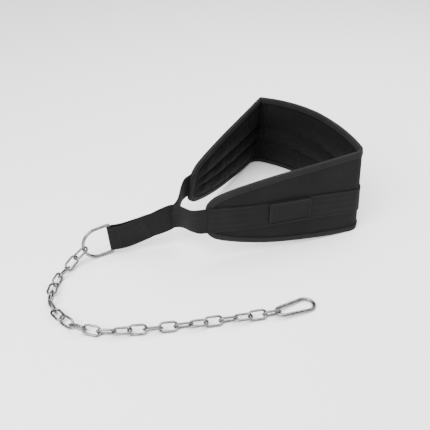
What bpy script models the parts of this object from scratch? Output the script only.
"""A dip belt: a padded waist belt, its strap, a D-ring, a chain and a spring snap hook.

Metres, +Z up. The belt stands on its lower edge. The origin is the middle of the
belt's length, on the floor. The front of the belt, with the label, faces -Y.
"""

import math

import bmesh
import bpy
from mathutils import Matrix, Vector

# Driving sizes

GAP = 0.0003

BELT_LENGTH = 0.932
BELT_WIDTH = 0.166
PAD_THICKNESS = 0.012
PAD_EDGE_THICKNESS = 0.005
PAD_TAPER_LENGTH = 0.045
PAD_TAPER_ROUNDING = 0.7
CHANNEL_MARGIN = 0.0108
CHANNEL_START = 0.0135

BINDING_THICKNESS = 0.0011
BINDING_LEG = 0.009

WEBBING_WIDTH = 0.047
WEBBING_THICKNESS = 0.0018
WEBBING_STEP_START = 0.011
WEBBING_STEP_LENGTH = 0.010

LABEL_LENGTH = 0.078
LABEL_HEIGHT = 0.043
LABEL_THICKNESS = 0.0028
LABEL_START = 0.108
LABEL_RISE = 0.002
LABEL_EDGE = 0.003
LABEL_COLUMNS = 8

BRANCH_REACH = 0.041
PULL_LENGTH = 0.109
STITCHED_LENGTH = 0.060
TIP_LEAD = 0.012
LOOP_NECK = 0.016

RING_WIRE = 0.0056
RING_INNER_WIDTH = 0.0485
RING_LEG = 0.024
RING_CORNER = 0.0035

LINK_COUNT = 23
LINK_PITCH = 0.0226
LINK_WIRE = 0.0038
LINK_INNER_WIDTH = 0.0098
LINK_PLAY = 0.0007
HANGING_LINKS = 2

HOOK_LENGTH = 0.071
HOOK_WIRE = 0.0056
HOOK_NARROW_RADIUS = 0.0098
HOOK_WIDE_RADIUS = 0.0138
NOSE_SWEEP = 6.0
RIVET_DISTANCE = 0.0225
RIVET_RADIUS = 0.001
RIVET_PLAY = 0.0003
GATE_DIAMETER = 0.0054
TONGUE_THICKNESS = 0.002
TONGUE_HEIGHT = 0.0045
TONGUE_BEHIND = 0.003
TONGUE_ROOT = 0.002
SHOULDER = 0.0044
SLOT_LENGTH = 0.0126
SLOT_BEHIND = 0.0041
HOOK_FOOT = 0.003

# How the belt stands: each row is one stretch of its length, from the near end to the far end

BELT_START_HEADING = 14.0
BELT_PLAN = (
    # share of length, turn in degrees, steps, lean of the top inwards at the end of the stretch
    (0.296, 10.0, 13, 1.0),
    (0.035, 72.0, 6, 3.0),
    (0.180, 25.0, 7, 9.0),
    (0.155, 33.0, 7, 10.0),
    (0.045, 90.0, 11, 9.0),
    (0.289, -4.0, 13, 9.0),
)

# Outline of the flat belt: distance from a tip as a share of half the length, then
# the lower edge, the upper edge and the middle of the webbing as shares of the width

BELT_OUTLINE = (
    (0.000, 0.325, 0.625, 0.475),
    (0.026, 0.252, 0.698, 0.465),
    (0.087, 0.187, 0.757, 0.450),
    (0.163, 0.134, 0.804, 0.435),
    (0.260, 0.083, 0.850, 0.425),
    (0.435, 0.030, 0.903, 0.412),
    (0.610, 0.000, 0.945, 0.372),
    (1.000, 0.000, 1.000, 0.360),
)

# Inner face of the pad, between the two legs of the binding: height as a share, and fullness

PAD_CHANNELS = (
    (0.000, 0.00),
    (0.070, 0.75),
    (0.170, 1.00),
    (0.280, 0.80),
    (0.335, 0.15),
    (0.390, 0.80),
    (0.470, 0.95),
    (0.550, 0.80),
    (0.605, 0.15),
    (0.660, 0.80),
    (0.810, 1.00),
    (0.930, 0.75),
    (1.000, 0.00),
)

# The strap's width: distance from a tip, and the width there

STRAP_WIDTHS = (
    (0.000, 0.0470),
    (0.012, 0.0465),
    (0.026, 0.0410),
    (0.052, 0.0405),
    (0.080, 0.0455),
    (0.300, 0.0460),
)

# How the strap and the ring hang from the tips

STRAP_HEADING = 190.0
REACH_HEADING = 209.0
RING_SWING = 20.0
STRAP_DROOP = 5.0
JUNCTION_SHARE = 0.34
STITCHED_SHARE = 0.28
HANG_ANGLE = -8.0

# The chain's route on the floor, as steps from the point where it hangs on the ring

CHAIN_ROUTE = (
    (0.000, 0.000),
    (-0.016, -0.017),
    (-0.027, -0.038),
    (-0.034, -0.062),
    (-0.037, -0.092),
    (-0.030, -0.125),
    (-0.008, -0.156),
    (0.021, -0.176),
    (0.054, -0.185),
    (0.097, -0.182),
    (0.152, -0.175),
    (0.206, -0.165),
    (0.260, -0.154),
    (0.315, -0.142),
)

# How far each link is rolled about the chain, from lying flat

FACING = 58.0
EDGEWAYS = -32.0
STEEP = -62.0
SLANTED = 40.0
FLAT = -2.0
LINK_ROLLS = (
    FLAT, STEEP, SLANTED, STEEP, FLAT, FACING, STEEP, FLAT, FACING, EDGEWAYS, FACING, STEEP,
    FLAT, FACING, EDGEWAYS, FACING, STEEP, FLAT, FACING, STEEP, FLAT, FACING, STEEP,
)

HOOK_TURN = 15.0
HOOK_GRIP_HEIGHT = 0.0072

UP = Vector((0.0, 0.0, 1.0))


def clear_scene():
    """Start from an empty scene."""
    for thing in list(bpy.data.objects):
        bpy.data.objects.remove(thing, do_unlink=True)


def make_material(name, colour, roughness, metallic=0.0):
    """One plain finish."""
    material = bpy.data.materials.new(name)
    material.use_nodes = True
    shader = material.node_tree.nodes["Principled BSDF"]
    shader.inputs["Base Color"].default_value = (*colour, 1.0)
    shader.inputs["Roughness"].default_value = roughness
    shader.inputs["Metallic"].default_value = metallic
    return material


def add_object(name, mesh, material):
    """Put a finished mesh in the scene under its own name."""
    body = bpy.data.objects.new(name, mesh)
    bpy.context.scene.collection.objects.link(body)
    body.data.materials.append(material)
    return body


def loft(name, rings, material, closed=False):
    """Skin a row of point rings, all listed the same way round, into one closed body."""
    shape = bmesh.new()
    rows = [[shape.verts.new(point) for point in ring] for ring in rings]
    following = rows[1:] + rows[:1] if closed else rows[1:]
    for here, there in zip(rows, following):
        for i in range(len(here)):
            j = (i + 1) % len(here)
            shape.faces.new((here[i], here[j], there[j], there[i]))
    if not closed:
        shape.faces.new(rows[0])
        shape.faces.new(rows[-1])
    bmesh.ops.recalc_face_normals(shape, faces=shape.faces)
    mesh = bpy.data.meshes.new(name)
    shape.to_mesh(mesh)
    shape.free()
    mesh.shade_smooth()
    mesh.set_sharp_from_angle(angle=math.radians(40))
    return add_object(name, mesh, material)


def wire(name, points, diameter, resolution, material, closed=True):
    """A round wire through the given points."""
    curve = bpy.data.curves.new(name, "CURVE")
    curve.dimensions = "3D"
    curve.bevel_depth = diameter / 2
    curve.bevel_resolution = resolution
    curve.use_fill_caps = not closed
    spline = curve.splines.new("POLY")
    spline.points.add(len(points) - 1)
    for knot, point in zip(spline.points, points):
        knot.co = (*point, 1.0)
    spline.use_cyclic_u = closed
    spline.use_smooth = True
    return add_object(name, curve, material)


def heading_vector(degrees):
    """A level direction, counted from +X towards +Y."""
    return Vector((math.cos(math.radians(degrees)), math.sin(math.radians(degrees)), 0.0))


def smooth_between(rows, x, column):
    """Read a table at x, with a smooth curve through its rows."""
    last = len(rows) - 1
    k = 0
    while k < last - 1 and x > rows[k + 1][0]:
        k += 1
    x0, x1 = rows[k][0], rows[k + 1][0]
    y0, y1 = rows[k][column], rows[k + 1][column]

    def slope(i):
        before, after = rows[max(i - 1, 0)], rows[min(i + 1, last)]
        return (after[column] - before[column]) / (after[0] - before[0])

    span = x1 - x0
    u = min(max((x - x0) / span, 0.0), 1.0)
    a = (2 * u ** 3 - 3 * u ** 2 + 1) * y0 + (3 * u ** 2 - 2 * u ** 3) * y1
    return a + span * ((u ** 3 - 2 * u ** 2 + u) * slope(k) + (u ** 3 - u ** 2) * slope(k + 1))


def smooth_path(knots, steps):
    """Points along a smooth curve that passes through the knots."""
    knots = [Vector(knot) for knot in knots]
    spans = [(there - here).length for here, there in zip(knots, knots[1:])]
    ways = [(there - here) / span for here, there, span in zip(knots, knots[1:], spans)]
    slopes = [ways[0]]
    for before, after, short, long in zip(ways, ways[1:], spans, spans[1:]):
        slopes.append((before * long + after * short) / (short + long))
    slopes.append(ways[-1])
    points = []
    for k, span in enumerate(spans):
        for step in range(steps):
            u = step / steps
            between = (2 * u ** 3 - 3 * u ** 2 + 1) * knots[k] + (3 * u ** 2 - 2 * u ** 3) * knots[k + 1]
            ease = (u ** 3 - 2 * u ** 2 + u) * slopes[k] + (u ** 3 - u ** 2) * slopes[k + 1]
            points.append(between + ease * span)
    points.append(knots[-1])
    return points


# The belt's own coordinates: s along its length, h up its section, o out from its outer face

def plan_at(s):
    """Place, heading and lean of the belt at the distance s from its near end."""
    place = Vector((0.0, 0.0, 0.0))
    heading = BELT_START_HEADING
    lean = 0.0
    left = s
    for row, (share, turn, _, end_lean) in enumerate(BELT_PLAN):
        length = share * BELT_LENGTH
        last = row == len(BELT_PLAN) - 1
        part = left / length if last else min(left / length, 1.0)
        angle = turn * part
        half = math.radians(angle / 2)
        chord = length * part * (math.sin(half) / half if abs(half) > 1e-9 else 1.0)
        place = place + heading_vector(heading + angle / 2) * chord
        heading += angle
        lean += (end_lean - lean) * part
        left -= length * part
        if left <= 0:
            break
    return place, heading, lean


MIDDLE = plan_at(BELT_LENGTH / 2)[0]


def outline_at(s, column):
    """A height of the belt's outline at s: 1 lower edge, 2 upper edge, 3 middle of the webbing."""
    half = BELT_LENGTH / 2
    share = 1.0 - abs(s - half) / half
    return BELT_WIDTH * max(smooth_between(BELT_OUTLINE, max(share, 0.0), column), 0.0)


def belt_frame(s):
    """The foot of the belt's outer face at s, with its upward and outward directions."""
    place, heading, lean = plan_at(s)
    outward = heading_vector(heading - 90)
    tilt = math.radians(lean)
    up = UP * math.cos(tilt) - outward * math.sin(tilt)
    out = outward * math.cos(tilt) + UP * math.sin(tilt)
    lift = BINDING_THICKNESS + GAP + PAD_EDGE_THICKNESS * math.sin(tilt)
    return place - MIDDLE + UP * lift, up, out


def belt_point(s, h, o):
    """A point given in the belt's own coordinates."""
    foot, up, out = belt_frame(s)
    return foot + up * h + out * o


def belt_stations():
    """Distances along the belt where its sections lie: close together in bends and at the tips."""
    stations = [0.0, 0.006, 0.012, 0.024]
    start = 0.0
    for share, _, steps, _ in BELT_PLAN:
        length = share * BELT_LENGTH
        stations += [start + length * k / steps for k in range(steps + 1)]
        start += length
    stations += [BELT_LENGTH - s for s in stations[:4]]
    stations = sorted(set(round(s, 5) for s in stations))
    return [s for k, s in enumerate(stations) if k == 0 or s - stations[k - 1] > 0.003]


def end_fade(s):
    """0 at the belt's thin tips, growing to 1 where the padding is full."""
    edge = min(s, BELT_LENGTH - s) - CHANNEL_START
    return min(max(edge / PAD_TAPER_LENGTH, 0.0), 1.0) ** PAD_TAPER_ROUNDING


def make_belt_pad(material):
    """The padded body: a flat outer face, and three puffed channels inside."""
    rings = []
    for s in belt_stations():
        low, high = outline_at(s, 1), outline_at(s, 2)
        outer = (low, low + CHANNEL_MARGIN, (low + high) / 2, high - CHANNEL_MARGIN, high)
        ring = [belt_point(s, h, 0.0) for h in outer]
        swell = (PAD_THICKNESS - PAD_EDGE_THICKNESS) * end_fade(s)
        base, height = low + CHANNEL_MARGIN, high - low - 2 * CHANNEL_MARGIN
        ring.append(belt_point(s, high, -PAD_EDGE_THICKNESS))
        for share, fullness in reversed(PAD_CHANNELS):
            depth = PAD_EDGE_THICKNESS + swell * fullness
            ring.append(belt_point(s, base + height * share, -depth))
        ring.append(belt_point(s, low, -PAD_EDGE_THICKNESS))
        rings.append(ring)
    return loft("belt_pad", rings, material)


def make_edge_binding(material):
    """A folded tape over the pad's whole edge, flattened where the belt stands on it."""
    stations = belt_stations()
    outline = [(s, outline_at(s, 2)) for s in stations]
    outline += [(s, outline_at(s, 1)) for s in reversed(stations)]
    tape, leg = BINDING_THICKNESS, BINDING_LEG
    inside, outside = PAD_EDGE_THICKNESS + GAP, GAP
    profile = (
        (-leg, outside), (-leg, outside + tape), (GAP + tape, outside + tape),
        (GAP + tape, -inside - tape), (-leg, -inside - tape), (-leg, -inside),
        (GAP, -inside), (GAP, outside),
    )
    rings = []
    count = len(outline)
    for k, (s, h) in enumerate(outline):
        before = Vector((s, h)) - Vector(outline[k - 1])
        after = Vector(outline[(k + 1) % count]) - Vector((s, h))
        normal_before = Vector((-before.y, before.x)).normalized()
        normal_after = Vector((-after.y, after.x)).normalized()
        mitre = (normal_before + normal_after).normalized()
        mitre /= max(mitre.dot(normal_before), 0.6)
        ring = [belt_point(s + mitre.x * a, h + mitre.y * a, o) for a, o in profile]
        if h == 0.0:
            ring[2].z = 0.0
            ring[3].z = 0.0
        rings.append(ring)
    return loft("edge_binding", rings, material, closed=True)


def webbing_standoff(s):
    """How far the webbing lies off the pad: over the binding at the tips, on the pad elsewhere."""
    over = BINDING_THICKNESS + 2 * GAP
    fade = (min(s, BELT_LENGTH - s) - WEBBING_STEP_START) / WEBBING_STEP_LENGTH
    return GAP + (over - GAP) * (1.0 - min(max(fade, 0.0), 1.0))


def make_outer_webbing(material):
    """The webbing sewn along the middle of the outer face."""
    rings = []
    for s in belt_stations():
        middle, low = outline_at(s, 3), webbing_standoff(s)
        half = WEBBING_WIDTH / 2
        rings.append([belt_point(s, middle - half, low), belt_point(s, middle + half, low),
                      belt_point(s, middle + half, low + WEBBING_THICKNESS),
                      belt_point(s, middle - half, low + WEBBING_THICKNESS)])
    return loft("outer_webbing", rings, material)


def make_label_patch(material):
    """A bare raised patch sewn over the webbing."""
    base = GAP + WEBBING_THICKNESS + GAP
    rings = []
    for k in range(LABEL_COLUMNS + 1):
        s = LABEL_START + LABEL_LENGTH * k / LABEL_COLUMNS
        middle = outline_at(s, 3) + LABEL_RISE
        thick = LABEL_THICKNESS if 0 < k < LABEL_COLUMNS else LABEL_THICKNESS / 2
        low, high = middle - LABEL_HEIGHT / 2, middle + LABEL_HEIGHT / 2
        rings.append([belt_point(s, low, base), belt_point(s, high, base),
                      belt_point(s, high, base + LABEL_THICKNESS / 2),
                      belt_point(s, high - LABEL_EDGE, base + thick),
                      belt_point(s, low + LABEL_EDGE, base + thick),
                      belt_point(s, low, base + LABEL_THICKNESS / 2)])
    return loft("label_patch", rings, material)


# Where the strap and the ring hang

def ring_frame():
    """The ring's bar: its middle, the direction along the bar, the strap's and the ring's directions."""
    lean_way = heading_vector(STRAP_HEADING + RING_SWING / 2)
    droop = math.radians(STRAP_DROOP)
    bar = UP * math.cos(droop) + lean_way * math.sin(droop)
    along_strap = heading_vector(STRAP_HEADING)
    along_strap = (along_strap - bar * along_strap.dot(bar)).normalized()
    along_ring = heading_vector(STRAP_HEADING + RING_SWING)
    along_ring = (along_ring - bar * along_ring.dot(bar)).normalized()
    near_tip, far_tip = belt_point(0.0, 0.0, 0.0), belt_point(BELT_LENGTH, 0.0, 0.0)
    junction = (near_tip + far_tip) / 2 + heading_vector(REACH_HEADING) * BRANCH_REACH
    middle = junction + heading_vector(STRAP_HEADING) * PULL_LENGTH
    lowest = min(along_ring.z * a + bar.z * b for a, b in ring_outline())
    middle.z = RING_WIRE / 2 - lowest
    return middle, bar, along_strap, along_ring


def ring_outline():
    """The ring's centre line in its own plane: across from the bar, and along the bar."""
    half = (RING_INNER_WIDTH + RING_WIRE) / 2
    points = []
    for k in range(13):
        angle = math.radians(-90 + 180 * k / 12)
        points.append((RING_LEG + half * math.cos(angle), half * math.sin(angle)))
    for end in (1, -1):
        for k in range(3):
            angle = math.radians(90 + 45 * k)
            across = RING_CORNER + RING_CORNER * math.cos(angle)
            along = half - RING_CORNER + RING_CORNER * math.sin(angle)
            points.append((across, along) if end > 0 else (across, -along))
    return points[:16] + list(reversed(points[16:]))


def make_d_ring(material):
    """The D-ring, upright on its side, with its straight bar in the strap's loop."""
    middle, bar, _, along_ring = ring_frame()
    points = [middle + along_ring * a + bar * b for a, b in ring_outline()]
    return wire("d_ring", points, RING_WIRE, 2, material)


def strap_route():
    """The strap's middle line: out of the near tip, round the ring's bar and back to the far tip."""
    middle, bar, along, _ = ring_frame()
    side = bar.cross(along)
    rest = (WEBBING_THICKNESS + GAP) / 2
    loop = RING_WIRE / 2 + GAP + WEBBING_THICKNESS / 2
    level = outline_at(0.0, 3)
    tip_offset = webbing_standoff(0.0) + WEBBING_THICKNESS / 2
    near = belt_point(0.0, level, tip_offset), belt_point(TIP_LEAD, level, tip_offset)
    far = belt_point(BELT_LENGTH, level, tip_offset), belt_point(BELT_LENGTH - TIP_LEAD, level, tip_offset)
    junction = middle - heading_vector(STRAP_HEADING) * PULL_LENGTH
    junction.z = near[0].z + (middle.z - near[0].z) * JUNCTION_SHARE
    stitched = middle - along * STITCHED_LENGTH + UP * (junction.z - middle.z) * STITCHED_SHARE
    legs = []
    for (tip, inner), sign in ((near, 1), (far, -1)):
        way = (tip - inner).normalized()
        knots = [tip + way * 2 * GAP, tip + way * TIP_LEAD, junction + side * rest * sign,
                 stitched + side * rest * sign, middle - along * LOOP_NECK + side * loop * sign,
                 middle + side * loop * sign]
        legs.append(smooth_path(knots, 7))
    turn = []
    for k in range(1, 8):
        angle = math.radians(90 - 180 * k / 8)
        turn.append(middle + side * loop * math.sin(angle) + along * loop * math.cos(angle))
    return legs[0] + turn + list(reversed(legs[1]))


def make_pull_strap(material):
    """The strap: both belt ends' webbing, joined and looped round the ring's bar."""
    route = strap_route()
    lengths = [0.0]
    for here, there in zip(route, route[1:]):
        lengths.append(lengths[-1] + (there - here).length)
    total = lengths[-1]
    bar = ring_frame()[1]
    tip_ups = belt_frame(0.0)[1], belt_frame(BELT_LENGTH)[1]
    last = len(route) - 1
    rings = []
    for k, point in enumerate(route):
        along = (route[min(k + 1, last)] - route[max(k - 1, 0)]).normalized()
        reach = min(lengths[k], total - lengths[k])
        tip_up = tip_ups[0] if lengths[k] < total / 2 else tip_ups[1]
        width_way = tip_up.lerp(bar, min(reach / PULL_LENGTH, 1.0))
        width_way = (width_way - along * width_way.dot(along)).normalized()
        across = along.cross(width_way).normalized()
        half = smooth_between(STRAP_WIDTHS, reach, 1) / 2
        thick = WEBBING_THICKNESS / 2
        rings.append([point + width_way * a + across * b
                      for a, b in ((-half, -thick), (half, -thick), (half, thick), (-half, thick))])
    return loft("pull_strap", rings, material)


# The chain

def hang_point():
    """The ring's wire where the chain hangs: its centre, the way out of the ring, and the wire's way."""
    middle, bar, _, along_ring = ring_frame()
    half = (RING_INNER_WIDTH + RING_WIRE) / 2
    angle = math.radians(HANG_ANGLE)
    outward = along_ring * math.cos(angle) + bar * math.sin(angle)
    wire_way = bar * math.cos(angle) - along_ring * math.sin(angle)
    return middle + along_ring * RING_LEG + outward * half, outward, wire_way


def link_height(roll):
    """Height of a link's middle above the floor when it is rolled by this angle."""
    half = (LINK_INNER_WIDTH + LINK_WIRE) / 2
    return half * abs(math.sin(math.radians(roll))) + LINK_WIRE / 2


def chain_joints():
    """The points where the links meet, one more than the links."""
    wire_point, outward, _ = hang_point()
    route = smooth_path([(wire_point.x + x, wire_point.y + y, 0.0) for x, y in CHAIN_ROUTE], 24)
    tail = (route[-1] - route[-2]).normalized()
    route += [route[-1] + tail * 0.001 * k for k in range(1, 200)]
    level = max(link_height(roll) for roll in LINK_ROLLS)
    first_way = Vector((CHAIN_ROUTE[1][0], CHAIN_ROUTE[1][1], 0.0)).normalized()
    first_way = (first_way * LINK_PITCH + UP * (level - wire_point.z) / HANGING_LINKS).normalized()
    joints = [wire_point - first_way * (RING_WIRE / 2 + LINK_PLAY)]
    k = 0
    for link in range(LINK_COUNT):
        here = Vector((joints[-1].x, joints[-1].y, 0.0))
        height = level + (wire_point.z - level) * max(1.0 - (link + 1) / HANGING_LINKS, 0.0)
        drop = joints[-1].z - height
        reach = math.sqrt(max(LINK_PITCH ** 2 - drop ** 2, 0.0))
        while (route[k] - here).length < reach:
            k += 1
        before, after = (route[k - 1] - here).length, (route[k] - here).length
        place = route[k - 1].lerp(route[k], (reach - before) / (after - before))
        joints.append(Vector((place.x, place.y, height)))
    return joints


def link_points():
    """A link's centre line, long way on X, in its own plane."""
    half_width = (LINK_INNER_WIDTH + LINK_WIRE) / 2
    half_length = (LINK_PITCH + LINK_PLAY + LINK_WIRE) / 2
    points = []
    for end in (1, -1):
        for k in range(7):
            angle = math.radians(-90 + 30 * k)
            x = half_length - half_width + half_width * math.cos(angle)
            points.append(Vector((x * end, half_width * math.sin(angle) * end, 0.0)))
    return points


def make_chain(material):
    """The chain: each link is a closed ring of wire through the next."""
    joints = chain_joints()
    for link in range(LINK_COUNT):
        start, end = joints[link], joints[link + 1]
        along = (end - start).normalized()
        roll = LINK_ROLLS[link]
        sideways = Matrix.Rotation(math.radians(roll), 3, along) @ UP.cross(along).normalized()
        place = (start + end) / 2
        if link == 0:
            sideways = hang_point()[2].cross(along).normalized()
        points = [place + along * p.x + sideways * p.y for p in link_points()]
        wire(f"link_{link + 1:02d}", points, LINK_WIRE, 1, material)


# The snap hook

def hook_frame():
    """The snap hook's place: the inside of its narrow end, and its lengthways and sideways directions."""
    joints = chain_joints()
    chain_way = joints[-1] - joints[-2]
    heading = math.degrees(math.atan2(chain_way.y, chain_way.x)) + HOOK_TURN
    along = heading_vector(heading)
    grip = joints[-1].copy()
    grip.z = HOOK_GRIP_HEIGHT
    length = HOOK_LENGTH - HOOK_WIRE
    dip = math.asin((HOOK_GRIP_HEIGHT - HOOK_WIRE / 2) / length)
    along = (along * math.cos(dip) - UP * math.sin(dip)).normalized()
    side = UP.cross(along).normalized()
    apex = grip - along * ((HOOK_WIRE + LINK_PLAY) / 2)
    return apex, along, side, along.cross(side)


def hook_outline():
    """The hook's centre line from the gate's rivet, round the narrow end and the wide end, to the nose.

    It lies in the hook's own plane: the first coordinate runs from the narrow end's wire
    towards the wide end, and the second is away from the gate.
    """
    narrow, wide = HOOK_NARROW_RADIUS, HOOK_WIDE_RADIUS
    length = HOOK_LENGTH - HOOK_WIRE
    splay = math.degrees(math.asin((wide - narrow) / (length - wide - narrow)))
    points = []
    for k in range(9):
        angle = math.radians(-90 - splay - (180 - 2 * splay) * k / 8)
        points.append((narrow + narrow * math.cos(angle), narrow * math.sin(angle)))
    for k in range(10):
        angle = math.radians(90 + splay - (180 + splay + NOSE_SWEEP) * k / 9)
        points.append((length - wide + wide * math.cos(angle), wide * math.sin(angle)))
    return points


def gate_line():
    """The gate's ends in the hook's plane: the rivet, and the tip by the nose."""
    narrow, wide = HOOK_NARROW_RADIUS, HOOK_WIDE_RADIUS
    length = HOOK_LENGTH - HOOK_WIRE
    rivet = (RIVET_DISTANCE, -narrow - (wide - narrow) * RIVET_DISTANCE / length)
    nose = hook_outline()[-1]
    return Vector(rivet), Vector((nose[0] - 2 * GAP, nose[1]))


def apply_boolean(body, cutter, operation):
    """Cut or join with the exact solver, and keep only the result."""
    step = body.modifiers.new("cut", "BOOLEAN")
    step.operation = operation
    step.solver = "EXACT"
    step.object = cutter
    graph = bpy.context.evaluated_depsgraph_get()
    mesh = bpy.data.meshes.new_from_object(body.evaluated_get(graph))
    material = body.data.materials[0]
    name = body.name
    bpy.data.objects.remove(body)
    bpy.data.objects.remove(cutter)
    mesh.materials.clear()
    return add_object(name, mesh, material)


def placed(shape_name, build, frame, material):
    """A bmesh primitive, set in a frame given by its middle and its three directions."""
    middle, x_way, y_way, z_way = frame
    shape = bmesh.new()
    build(shape)
    turn = Matrix((x_way, y_way, z_way)).transposed().to_4x4()
    bmesh.ops.transform(shape, matrix=Matrix.Translation(middle) @ turn, verts=shape.verts)
    mesh = bpy.data.meshes.new(shape_name)
    shape.to_mesh(mesh)
    shape.free()
    return add_object(shape_name, mesh, material)


def rod(radius, length, sides):
    """A builder for a round rod along its own Z."""
    def build(shape):
        bmesh.ops.create_cone(shape, cap_ends=True, segments=sides, radius1=radius, radius2=radius,
                              depth=length)
    return build


def block(x, y, z):
    """A builder for a block."""
    def build(shape):
        bmesh.ops.create_cube(shape, size=1.0, matrix=Matrix.Diagonal((x, y, z, 1.0)))
    return build


def make_snap_hook(material):
    """The snap hook's bent body with its rivet, and the gate that turns on the rivet."""
    apex, along, side, normal = hook_frame()

    def at(a, b):
        return apex + along * a + side * b

    rivet, tip = gate_line()
    route = [at(rivet.x + HOOK_FOOT, rivet.y)] + [at(a, b) for a, b in hook_outline()]
    body = wire("snap_hook", route, HOOK_WIRE, 2, material, closed=False)
    graph = bpy.context.evaluated_depsgraph_get()
    mesh = bpy.data.meshes.new_from_object(body.evaluated_get(graph))
    bpy.data.objects.remove(body)
    body = add_object("snap_hook", mesh, material)

    gate_way = (at(*tip) - at(*rivet)).normalized()
    gate_side = normal.cross(gate_way).normalized()
    pivot = at(*rivet)
    slot_width = TONGUE_THICKNESS + 2 * RIVET_PLAY
    slot_middle = pivot + gate_way * (SLOT_LENGTH / 2 - SLOT_BEHIND)
    slot = placed("slot", block(SLOT_LENGTH, HOOK_WIRE * 2, slot_width),
                  (slot_middle, gate_way, gate_side, normal), material)
    body = apply_boolean(body, slot, "DIFFERENCE")
    pin = placed("pin", rod(RIVET_RADIUS, GATE_DIAMETER, 12), (pivot, gate_way, gate_side, normal), material)
    body = apply_boolean(body, pin, "UNION")

    reach = (at(*tip) - pivot).length
    shaft_length = reach - SHOULDER
    shaft = placed("snap_gate", rod(GATE_DIAMETER / 2, shaft_length, 12),
                   (pivot + gate_way * (SHOULDER + shaft_length / 2), gate_side, normal, gate_way), material)
    tongue_length = TONGUE_BEHIND + SHOULDER + TONGUE_ROOT
    tongue = placed("tongue", block(tongue_length, TONGUE_HEIGHT, TONGUE_THICKNESS),
                    (pivot + gate_way * (tongue_length / 2 - TONGUE_BEHIND), gate_way, gate_side, normal), material)
    gate = apply_boolean(shaft, tongue, "UNION")
    bore = placed("bore", rod(RIVET_RADIUS + RIVET_PLAY, HOOK_WIRE * 2, 12),
                  (pivot, gate_way, gate_side, normal), material)
    gate = apply_boolean(gate, bore, "DIFFERENCE")
    gate.data.transform(Matrix.Translation(-pivot))
    gate.location = pivot
    return body, gate


def build():
    """Make every piece."""
    clear_scene()
    fabric = make_material("black_fabric", (0.030, 0.030, 0.034), 0.85)
    tape = make_material("binding_tape", (0.050, 0.050, 0.055), 0.75)
    webbing = make_material("black_webbing", (0.040, 0.040, 0.045), 0.80)
    label = make_material("label", (0.028, 0.028, 0.031), 0.60)
    zinc = make_material("zinc_steel", (0.62, 0.63, 0.65), 0.32, 1.0)
    make_belt_pad(fabric)
    make_edge_binding(tape)
    make_outer_webbing(webbing)
    make_label_patch(label)
    make_pull_strap(webbing)
    make_d_ring(zinc)
    make_chain(zinc)
    make_snap_hook(zinc)


build()
